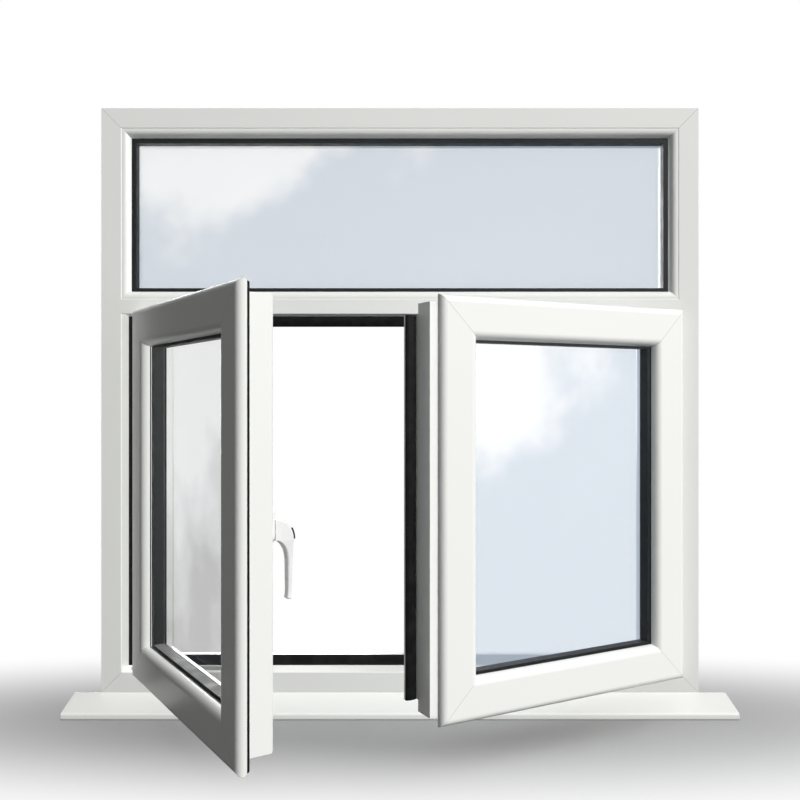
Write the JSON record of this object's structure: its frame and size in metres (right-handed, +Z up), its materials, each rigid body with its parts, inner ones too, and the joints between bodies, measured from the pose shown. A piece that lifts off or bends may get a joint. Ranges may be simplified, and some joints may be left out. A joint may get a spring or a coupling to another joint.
{
  "type": "french casement window",
  "caption": "White french casement window with a fixed top light, two outward leaves on friction stays, a flying mullion, a lever handle and a projecting cill.",
  "frame": {"origin": "centre of the cill's underside, in line with the frame's outside face", "axes": "+X to the right seen from outside, +Y into the room, +Z up"},
  "size_m": [1.296, 0.55, 1.194],
  "materials": {
    "frame_white": "smooth white rigid plastic",
    "seal_black": "matt black",
    "glass": "clear float glass",
    "spacer_black": "matt black warm edge",
    "stay_steel": "brushed stainless",
    "handle_white": "white powder coat",
    "button_grey": "dark grey"
  },
  "bodies": {
    "frame": {"cill": "frame_white", "cill_end_cap_left": "frame_white", "cill_end_cap_right": "frame_white", "frame_bottom_rail": "frame_white", "frame_head": "frame_white", "frame_jamb_left": "frame_white", "frame_jamb_right": "frame_white", "frame_weather_seal": "seal_black", "left_stay_tracks": "stay_steel", "right_stay_tracks": "stay_steel", "top_light_beads": "frame_white", "top_light_inner_pane": "glass", "top_light_outer_pane": "glass", "top_light_seals": "seal_black", "top_light_spacer": "spacer_black", "transom": "frame_white"},
    "right_leaf": {"flying_mullion": "frame_white", "flying_mullion_end_caps": "frame_white", "flying_mullion_seal": "seal_black", "right_leaf_beads": "frame_white", "right_leaf_bottom_rail": "frame_white", "right_leaf_glazing_seals": "seal_black", "right_leaf_hinge_stile": "frame_white", "right_leaf_inner_pane": "glass", "right_leaf_lock_stile": "frame_white", "right_leaf_outer_pane": "glass", "right_leaf_spacer": "spacer_black", "right_leaf_stay_bars": "stay_steel", "right_leaf_top_rail": "frame_white", "right_leaf_weather_seal": "seal_black"},
    "left_leaf": {"handle_base": "handle_white", "left_leaf_beads": "frame_white", "left_leaf_bottom_rail": "frame_white", "left_leaf_glazing_seals": "seal_black", "left_leaf_hinge_stile": "frame_white", "left_leaf_inner_pane": "glass", "left_leaf_lock_stile": "frame_white", "left_leaf_outer_pane": "glass", "left_leaf_spacer": "spacer_black", "left_leaf_stay_bars": "stay_steel", "left_leaf_top_rail": "frame_white", "left_leaf_weather_seal": "seal_black"},
    "handle": {"handle_button": "button_grey", "handle_lever": "handle_white"},
    "left_links": {"left_stay_links": "stay_steel"},
    "right_links": {"right_stay_links": "stay_steel"}
  },
  "joints": [
    {"name": "left_stay_link_pivot", "type": "hinge", "parent": "frame", "child": "left_links", "pos_m": [-0.433, 0.022, 0.0755], "axis": [0, 0, 1], "range_deg": [-49.3, 1.7]},
    {"name": "left_leaf_pivot", "type": "hinge", "parent": "left_links", "child": "left_leaf", "pos_m": [-0.47237, -0.03911, 0.079], "axis": [0, 0, -1], "range_deg": [-107.3, 3.7]},
    {"name": "right_stay_link_pivot", "type": "hinge", "parent": "frame", "child": "right_links", "pos_m": [0.433, 0.022, 0.0755], "axis": [0, 0, -1], "range_deg": [-24.23, 26.77]},
    {"name": "right_leaf_pivot", "type": "hinge", "parent": "right_links", "child": "right_leaf", "pos_m": [0.49456, -0.01666, 0.079], "axis": [0, 0, 1], "range_deg": [-52.73, 58.27]},
    {"name": "handle_turn", "type": "hinge", "parent": "left_leaf", "child": "handle", "pos_m": [-0.20264, -0.41416, 0.416], "axis": [0.848, 0.5299, 0], "range_deg": [0, 90]}
  ],
  "couplings": [
    {"joint": "left_leaf_pivot", "follows": "left_stay_link_pivot", "ratio": 2.1765},
    {"joint": "right_leaf_pivot", "follows": "right_stay_link_pivot", "ratio": 2.1765}
  ]
}
